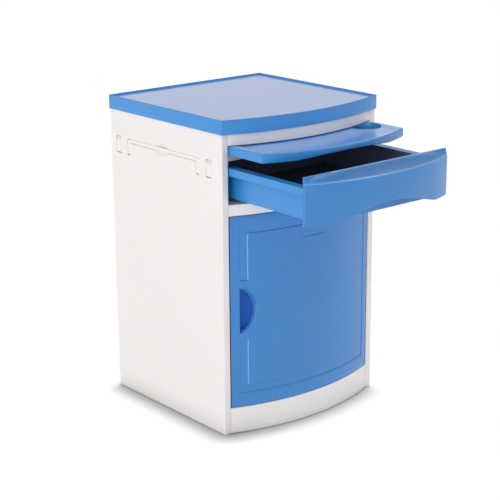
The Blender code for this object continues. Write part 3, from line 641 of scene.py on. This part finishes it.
def bowl(name, centre, top):
    """A round recess with a rounded rim and a rounded floor."""
    profile = [(CUP_RADIUS + CUP_LIP, CUP_OVERSHOOT), (CUP_RADIUS + CUP_LIP, 0.0)]
    for turn in spread(0, math.pi / 2, 4)[1:]:
        radius = CUP_RADIUS + CUP_LIP * (1 - math.sin(turn))
        profile.append((radius, -CUP_LIP * (1 - math.cos(turn))))
    for turn in spread(0, math.pi / 2, 5):
        radius = CUP_RADIUS - CUP_TAPER - CUP_FILLET * (1 - math.cos(turn))
        profile.append((radius, -CUP_DEPTH + CUP_FILLET * (1 - math.sin(turn))))
    return loft(name, [circle(*centre, radius, top + height, 64) for radius, height in profile])


def board():
    """The bowed board with its cup recess, and a lighter blue painted on its top as sheen."""
    low, high = box("dining_board")
    piece = loft("board_moulding", [board_section(x) for x in columns(high.x, 88, BOARD_ROUND)])
    cup_y = low.y + BOARD_ARC + CUP_BEHIND
    cut(piece, bowl("cup_tool", (CUP_X, cup_y), high.z - BOARD_SUNK + CUP_RAISED))
    smooth_shade(piece)
    stand_for("dining_board", piece, BLUE)
    piece.data.materials.append(BOARD_PAINTED_SHEEN)
    # the top faces take the lighter blue of painted sheen
    for face in piece.data.polygons:
        if face.normal.z > 0.9 and face.center.z > high.z - 2 * BOARD_SUNK:
            face.material_index = 1


# ---------------------------------------------------------------- drawer
FRONT_END = 0.008
FRONT_LIP = 0.003
FRONT_PLATE = 0.004
FRONT_SKIN = 0.0035
FRONT_ROUND = 0.0016
CREASE = 0.658
CAVITY_TOP = 0.645
ARCH_HALF = 0.165
ARCH_RISE = 0.032
ARCH_POWER = 1.2
# how far up the dish's slope each line lies, from its top down to the ridge
DISH_STEPS = (0.93, 0.84, 0.72, 0.58, 0.44, 0.30, 0.18, 0.08)
DISH_POWER = 1.7
RIDGE_BACK = 0.0022
RIDGE_ABOVE = 0.0008
RIDGE_BELOW = 0.0022
RIDGE_RADII = (0.0024, 0.0026)
# how near the crease a face takes the painted highlight
RIDGE_HALF = 0.0026
LIP_RADIUS = 0.0006
BACK_RADIUS = 0.0008
BOTTOM_RADIUS = 0.0012
TUB_EDGE = 0.0008
# the tub's inside, which takes the painted shade
TUB_INSIDE_HALF = 0.1985
TUB_WALL = 0.002


def front_section(x, hollow):
    """The drawer front's outline in y and z: straight back, a dish down to the ridge, and a bowed face."""
    low, high = box("drawer_front")
    cut_back = quarter(high.x - abs(x), FRONT_ROUND)
    back = high.y
    face = back - FRONT_END - arc(x, high.x, BOW) + cut_back
    lip, top, bottom = back - FRONT_LIP, high.z - cut_back, low.z + cut_back
    points, radii = [(back, bottom), (back, top), (lip, top)], [BACK_RADIUS, LIP_RADIUS, LIP_RADIUS]
    for step in DISH_STEPS:
        rise = (top - CREASE) * step**DISH_POWER
        points.append((face + (lip - face) * step, CREASE + rise))
        radii.append(0)
    points += [(face + RIDGE_BACK, CREASE + RIDGE_ABOVE), (face, CREASE - RIDGE_BELOW)]
    radii += RIDGE_RADII
    if not hollow:
        points.append((face, bottom))
        radii.append(BOTTOM_RADIUS)
        return [(x, y, z) for y, z in rounded(points, radii)]
    along = math.cos(math.pi * min(abs(x) / ARCH_HALF, 1.0) / 2)
    edge = bottom + ARCH_RISE * max(along, 0.0) ** ARCH_POWER
    plate = back - FRONT_PLATE
    points += [(face, edge), (face + FRONT_SKIN, edge), (face + FRONT_SKIN, CAVITY_TOP)]
    points += [(plate, CAVITY_TOP), (plate, bottom)]
    radii += [BOTTOM_RADIUS, BACK_RADIUS, 0, 0, 0]
    return [(x, y, z) for y, z in rounded(points, radii)]


def drawer_front():
    """Hollow behind its face, between two solid ends, with a painted highlight on its lip and ridge."""
    high = box("drawer_front")[1]
    inner = high.x - FRONT_SKIN
    middle = [front_section(x, True) for x in spread(-inner, inner, 90)]
    ends = [x for x in columns(high.x, 2, FRONT_ROUND) if abs(x) > inner]
    left = [front_section(x, False) for x in ends if x < 0] + [front_section(-inner, False)]
    right = [front_section(inner, False)] + [front_section(x, False) for x in ends if x > 0]
    piece = smooth_shade(loft("drawer_front_moulding", left, middle, right))
    # the drawer front takes the darker blue of painted shade
    stand_for("drawer_front", piece, SHADED_FRONT_BLUE)
    piece.data.materials.append(PAINTED_HIGHLIGHT)
    # the lip and the ridge take the painted highlight
    for face in piece.data.polygons:
        on_lip = face.normal.z > 0.8 and face.center.z > high.z - 2 * LIP_RADIUS
        near_crease = abs(face.center.z - CREASE) < RIDGE_HALF
        on_ridge = 0.2 < face.normal.z < 0.92 and face.normal.y < 0 and near_crease
        if on_lip or on_ridge:
            face.material_index = 1


def drawer_tub():
    """The tub, with painted shade on its inner walls and floor."""
    tub = refined("drawer_box", TUB_EDGE, BLUE)
    tub.data.materials.append(TUB_PAINTED_SHADE)
    low, high = box("drawer_box")
    for face in tub.data.polygons:
        middle = face.center
        within_plan = abs(middle.x) < TUB_INSIDE_HALF and low.y + TUB_WALL < middle.y < high.y - TUB_WALL
        # the inner walls and floor take the painted shade
        if within_plan and low.z + TUB_WALL < middle.z < high.z - TUB_EDGE / 2:
            face.material_index = 1


# ---------------------------------------------------------------- door
DOOR_THICKNESS = 0.018
DOOR_ROUND = 0.0025
# half width, bottom, top and corner radius
CHANNEL_OUTER = (0.2005, 0.0970, 0.5070, 0.009)
CHANNEL_INNER = (0.1780, 0.1205, 0.4905, 0.006)
CHANNEL_DEPTH = 0.0020
CHANNEL_RAMP_OUTER = 0.0040
CHANNEL_RAMP_INNER = 0.0020
CHANNEL_END_RAMP = 0.0025
DOOR_FREE_ROUND = 0.0016
DOOR_END_ROUND = 0.0012
DOOR_EDGE_COLUMNS = (0.0002, 0.0006, 0.0012, 0.002, 0.003)
DOOR_EDGE_ROWS = (0.0004, 0.001)
COLUMN_STEP = 0.0075
ROW_STEP = 0.012
DETAIL_REACH = 0.0045
DETAIL_STEP = 0.0007
BUSH_GAP = 0.0003
BUSH_OVERSHOOT = 0.001
# how far in from the free edge the faces take the painted shade
GAP_SHADE_WIDTH = 0.001
# how near the channel's inner wall a face takes the painted highlight
CHANNEL_WALL = 0.003
LINER_GAP = 0.0003
HANDLE_FLAT_X = -0.199
HANDLE_REACH = 0.041
HANDLE_HALF = 0.055
HANDLE_Z = 0.305
HANDLE_BOSS = 0.0725
HANDLE_CORNER = 0.003
# inset of each half-moon, and how far behind the door's face it lies
HANDLE_CUTTER = ((0.0, -0.004), (0.0, 0.0146))
HANDLE_CUP = (
    (0.0003, 0.0140),
    (0.0003, 0.0008),
    (0.0008, 0.0003),
    (0.0022, 0.0006),
    (0.0040, 0.0028),
    (0.0062, 0.0050),
    (0.0072, 0.0075),
    (0.0080, 0.0100),
    (0.0095, 0.0115),
    (0.0120, 0.0120),
)
# how deep the cup's lighter band of painted shade and its ring of painted highlight reach, and how high
# the ring runs
RIM_DEPTH = 0.0040
RING_DEPTH = 0.0012
RING_TOP = 0.012
GROOVE_HALF = 0.037
GROOVE_Z = 0.4605
GROOVE_HALF_WIDTH = 0.0012
GROOVE_DEPTH = 0.0010
GROOVE_RAMP = 0.0008
GROOVE_END_RAMP = 0.002


def door_face(x):
    """The y of the door's bowed face."""
    return CORNER_Y - arc(x, box("door_shell")[1].x, BOW)


def outside_field(x, z, field):
    """Distance outside a rectangle with round corners, negative within it."""
    half, bottom, top, corner = field
    aside = abs(x) - half + corner
    along = abs(z - (bottom + top) / 2) - (top - bottom) / 2 + corner
    beyond = math.hypot(max(aside, 0.0), max(along, 0.0))
    return beyond + min(max(aside, along), 0.0) - corner


def door_relief(x, z):
    """How far the face lies under its bow: the channel, the short groove and the rounded border."""
    low, high = box("door_shell")
    channel = ease(-outside_field(x, z, CHANNEL_OUTER) / CHANNEL_RAMP_OUTER)
    channel *= ease(outside_field(x, z, CHANNEL_INNER) / CHANNEL_RAMP_INNER)
    if x < 0:
        channel *= ease((abs(z - HANDLE_Z) - HANDLE_BOSS) / CHANNEL_END_RAMP)
    groove = ease((GROOVE_HALF_WIDTH - abs(z - GROOVE_Z)) / GROOVE_RAMP)
    groove *= ease((GROOVE_HALF - abs(x)) / GROOVE_END_RAMP)
    border = quarter(high.x - abs(x), DOOR_FREE_ROUND if x < 0 else DOOR_ROUND)
    border += quarter(min(z - low.z, high.z - z), DOOR_END_ROUND)
    return CHANNEL_DEPTH * channel + GROOVE_DEPTH * groove + border


def fine_steps(low, high, coarse, spots):
    """Evenly spread places, with close steps round each spot."""
    places = []
    for value in spread(low, high, max(int((high - low) / coarse), 1)):
        if all(abs(value - spot) > DETAIL_REACH for spot in spots):
            places.append(value)
    for spot in spots:
        near = spread(spot - DETAIL_REACH, spot + DETAIL_REACH, int(2 * DETAIL_REACH / DETAIL_STEP))
        places += [value for value in near if low < value < high]
    kept = [low]
    for value in sorted(places + [high]):
        if value - kept[-1] > DETAIL_STEP * 0.45:
            kept.append(value)
    kept[-1] = high
    return kept


def door_columns(low, high):
    """x places across the door, close together at the channel's walls and the rounded edges."""
    spots = []
    for side in (-1, 1):
        spots += [side * (CHANNEL_OUTER[0] - 0.002), side * (CHANNEL_INNER[0] + 0.001)]
    places = fine_steps(low.x, high.x, COLUMN_STEP, spots + [-GROOVE_HALF, GROOVE_HALF])
    for depth in DOOR_EDGE_COLUMNS:
        places += [depth - high.x, high.x - depth]
    return sorted(set(places))


def door_rows(low, high):
    """z places up the door, close together at the channel's walls, the groove and the handle's boss."""
    spots = [CHANNEL_OUTER[1] + 0.002, CHANNEL_OUTER[2] - 0.002]
    spots += [CHANNEL_INNER[1] - 0.001, CHANNEL_INNER[2] + 0.001, GROOVE_Z]
    spots += [HANDLE_Z - HANDLE_BOSS - 0.001, HANDLE_Z + HANDLE_BOSS + 0.001]
    places = fine_steps(low.z, high.z, ROW_STEP, spots)
    for depth in DOOR_EDGE_ROWS:
        places += [low.z + depth, high.z - depth]
    return sorted(set(places))


def half_moon(name, levels):
    """A solid through half-moon outlines on the door's bow, each at its own inset and depth."""
    rings = []
    for inset, depth in levels:
        flat = HANDLE_FLAT_X + min(inset, HANDLE_CORNER)
        reach, height = HANDLE_FLAT_X + HANDLE_REACH - inset - flat, HANDLE_HALF - inset
        outline = [(flat, -height)]
        for turn in spread(-math.pi / 2, math.pi / 2, 40)[1:-1]:
            outline.append((flat + reach * math.cos(turn), height * math.sin(turn)))
        outline.append((flat, height))
        radii = [HANDLE_CORNER] + [0] * 39 + [HANDLE_CORNER]
        rings.append([(x, door_face(x) + depth, HANDLE_Z + z) for x, z in rounded(outline, radii)])
    return loft(name, rings)


def bush_hole(end):
    """A round tool a little larger than the hinge bush, on the hinge's axis."""
    pin_low, pin_high = box("hinge_pin_bottom")
    axis = (pin_low + pin_high) / 2
    low, high = box(f"hinge_bush_{end}")
    radius = (high.x - low.x) / 2 + BUSH_GAP
    ends = (low.z - BUSH_OVERSHOOT, high.z + BUSH_OVERSHOOT)
    return loft("bush_tool", [circle(axis.x, axis.y, radius, z, 32) for z in ends])


def door_shell():
    """The bowed face with its channel, painted shade on the free edge for the gap beside the post, and a
    thick straight back.
    """
    low, high = box("door_shell")
    rows = door_rows(low, high)
    sections = []
    for x in door_columns(low, high):
        face, back = door_face(x), door_face(x) + DOOR_THICKNESS
        section = [(x, face + door_relief(x, z), z) for z in rows]
        sections.append(section + [(x, back, high.z), (x, back, low.z)])
    piece = loft("door_moulding", sections)
    cut(piece, half_moon("handle_tool", HANDLE_CUTTER))
    for end in ("bottom", "top"):
        cut(piece, bush_hole(end))
    smooth_shade(piece)
    # the door takes the darker blue of painted shade
    stand_for("door_shell", piece, SHADED_FRONT_BLUE)
    piece.data.materials.append(PAINTED_HIGHLIGHT)
    piece.data.materials.append(GAP_PAINTED_SHADE)
    for face in piece.data.polygons:
        # the channel's left-facing inner wall takes the painted highlight
        by_channel = abs(face.center.x + CHANNEL_INNER[0]) < CHANNEL_WALL
        if by_channel and face.normal.x < -0.6 and face.normal.y < 0:
            face.material_index = 1
        # the free edge takes painted shade for the gap
        if face.normal.x < -0.72 and face.center.x < low.x + GAP_SHADE_WIDTH:
            face.material_index = 2


def door_liner():
    """The flat inner skin, set back a hair so that it doesn't touch the shell."""
    liner = refined("door_liner", THIN_EDGE, BLUE)
    liner.data.transform(Matrix.Translation((0, LINER_GAP, 0)))


def handle_cup():
    """The cup behind the door's opening, dark with painted shade: a lighter painted shade on the slope
    along its arc, and a bright ring of painted highlight below.
    """
    cup = half_moon("handle_cup_moulding", HANDLE_CUP)
    smooth_shade(cup, 50)
    stand_for("handle_cup", cup, CUP_PAINTED_SHADE)
    cup.data.materials.append(CUP_SLOPE_PAINTED_SHADE)
    cup.data.materials.append(PAINTED_HIGHLIGHT)
    # the arc's slope takes the lighter painted shade and its shallow ring the painted highlight; the rest
    # of the cup is dark as painted shade
    for face in cup.data.polygons:
        depth = face.center.y - door_face(face.center.x)
        on_arc = face.center.x > HANDLE_FLAT_X + 2 * HANDLE_CORNER
        if on_arc and depth < RIM_DEPTH:
            face.material_index = 1
        if on_arc and depth < RING_DEPTH and face.center.z < HANDLE_Z + RING_TOP:
            face.material_index = 2


# ---------------------------------------------------------------- studio
CAMERA = {"azimuth": -39.744, "elevation": 16.547, "distance": 3.5438, "roll": -0.4285}
CAMERA_SIDE = 0.0168
CAMERA_RISE = -0.0150
TARGET = Vector((0, MIDDLE_Y, 0.38))
SENSOR = 36.0
FOCAL = 101.424


def camera():
    """A long lens, seeing the left side and the front from a little above."""
    azimuth, elevation = math.radians(CAMERA["azimuth"]), math.radians(CAMERA["elevation"])
    flat = math.cos(elevation)
    back = Vector((math.sin(azimuth) * flat, -math.cos(azimuth) * flat, math.sin(elevation)))
    right = Vector((math.cos(azimuth), math.sin(azimuth), 0))
    up = back.cross(right)
    data = bpy.data.cameras.new("camera")
    data.lens = FOCAL
    data.sensor_width = SENSOR
    made = bpy.data.objects.new("camera", data)
    bpy.context.scene.collection.objects.link(made)
    made.location = TARGET + back * CAMERA["distance"] + right * CAMERA_SIDE + up * CAMERA_RISE
    turn = math.radians(CAMERA["roll"])
    rolled_right = right * math.cos(turn) + up * math.sin(turn)
    rolled_up = up * math.cos(turn) - right * math.sin(turn)
    made.rotation_mode = "QUATERNION"
    made.rotation_quaternion = Matrix((rolled_right, rolled_up, back)).transposed().to_quaternion()
    bpy.context.scene.camera = made


def area_light(name, place, size, power, aim):
    data = bpy.data.lights.new(name, "AREA")
    data.shape = "RECTANGLE"
    data.size, data.size_y = size
    data.energy = power
    made = bpy.data.objects.new(name, data)
    bpy.context.scene.collection.objects.link(made)
    made.location = place
    made.rotation_euler = (Vector(aim) - Vector(place)).to_track_quat("-Z", "Y").to_euler()


KEY_PLACE = (-3.0, -1.1, 1.5)
KEY_SIZE = (1.4, 1.4)
KEY_POWER = 18
STRIP_PLACE = (1.84, -1.20, 2.87)
STRIP_SIZE = (2.4, 1.0)
STRIP_POWER = 12
SKY_BASE = 0.84
SKY_TILT = 0.20
SKY_DROP = 0.45
SKY_BRIGHT_SIDE = Vector((-0.90, 0.15, 0.0)).normalized()
SKY_SEEN = 1.06
FLOOR_REACH = 40
FLOOR_THICKNESS = 0.02
FLOOR_PALE = 0.36
OVERHEAD_POWER = 6.9
OVERHEAD_SPREAD = math.radians(6)
OVERHEAD_WAY = Vector((-0.030, -0.022, -1))
OVERHEAD_BLOCKERS = ("side_panel_left", "side_panel_right", "plinth", "tray")


def sky():
    """A white surround that the camera sees as plain white: brighter on the left, dimmer overhead."""
    world = bpy.data.worlds.new("studio")
    bpy.context.scene.world = world
    world.use_nodes = True
    tree = world.node_tree
    background = tree.nodes["Background"]
    background.inputs["Color"].default_value = (1, 1, 1, 1)
    coords = tree.nodes.new("ShaderNodeTexCoord")
    along = tree.nodes.new("ShaderNodeVectorMath")
    along.operation = "DOT_PRODUCT"
    along.inputs[1].default_value = SKY_BRIGHT_SIDE
    tree.links.new(coords.outputs["Generated"], along.inputs[0])
    split = tree.nodes.new("ShaderNodeSeparateXYZ")
    tree.links.new(coords.outputs["Generated"], split.inputs[0])
    height = tree.nodes.new("ShaderNodeMath")
    height.operation = "MULTIPLY"
    tree.links.new(split.outputs["Z"], height.inputs[0])
    tree.links.new(split.outputs["Z"], height.inputs[1])
    dimmed = tree.nodes.new("ShaderNodeMath")
    dimmed.operation = "MULTIPLY_ADD"
    dimmed.inputs[1].default_value = -SKY_DROP
    dimmed.inputs[2].default_value = SKY_BASE
    tree.links.new(height.outputs["Value"], dimmed.inputs[0])
    level = tree.nodes.new("ShaderNodeMath")
    level.operation = "MULTIPLY_ADD"
    level.inputs[1].default_value = SKY_TILT
    tree.links.new(along.outputs["Value"], level.inputs[0])
    tree.links.new(dimmed.outputs["Value"], level.inputs[2])
    path = tree.nodes.new("ShaderNodeLightPath")
    seen = tree.nodes.new("ShaderNodeMix")
    seen.inputs["B"].default_value = SKY_SEEN
    tree.links.new(path.outputs["Is Camera Ray"], seen.inputs["Factor"])
    tree.links.new(level.outputs["Value"], seen.inputs["A"])
    tree.links.new(seen.outputs["Result"], background.inputs["Strength"])


def floor_light(floor):
    """An overhead light for the floor alone: the carcass shades it softly along its foot."""
    data = bpy.data.lights.new("overhead", "SUN")
    data.energy = OVERHEAD_POWER
    data.angle = OVERHEAD_SPREAD
    made = bpy.data.objects.new("overhead", data)
    bpy.context.scene.collection.objects.link(made)
    made.rotation_euler = OVERHEAD_WAY.to_track_quat("-Z", "Y").to_euler()
    lit = bpy.data.collections.new("lit_by_overhead")
    lit.objects.link(floor)
    made.light_linking.receiver_collection = lit
    shading = bpy.data.collections.new("shading_overhead")
    for name in OVERHEAD_BLOCKERS:
        shading.objects.link(bpy.data.objects[f"{name}_moulding"])
    made.light_linking.blocker_collection = shading


def studio():
    edge = FLOOR_REACH
    outline = ((-edge, -FLOOR_THICKNESS), (edge, -FLOOR_THICKNESS), (edge, 0), (-edge, 0))
    floor = across("floor", outline, (-edge, edge))
    look, _, shader = nodes_of("floor")
    shader.inputs["Base Color"].default_value = (FLOOR_PALE, FLOOR_PALE, FLOOR_PALE, 1)
    shader.inputs["Roughness"].default_value = 0.9
    shader.inputs["Specular IOR Level"].default_value = 0.0
    floor.data.materials.append(look)
    sky()
    area_light("key", KEY_PLACE, KEY_SIZE, KEY_POWER, (0, 0.1, 0.4))
    area_light("strip", STRIP_PLACE, STRIP_SIZE, STRIP_POWER, (0, 0, 0.6))
    floor_light(floor)
    scene = bpy.context.scene
    scene.view_settings.view_transform = "Standard"
    scene.view_settings.look = "None"


camera()
white_pieces()
side_panel(-1, "left")
side_panel(1, "right")
tray()
board()
drawer_front()
drawer_tub()
door_shell()
door_liner()
handle_cup()
small_parts()
studio()
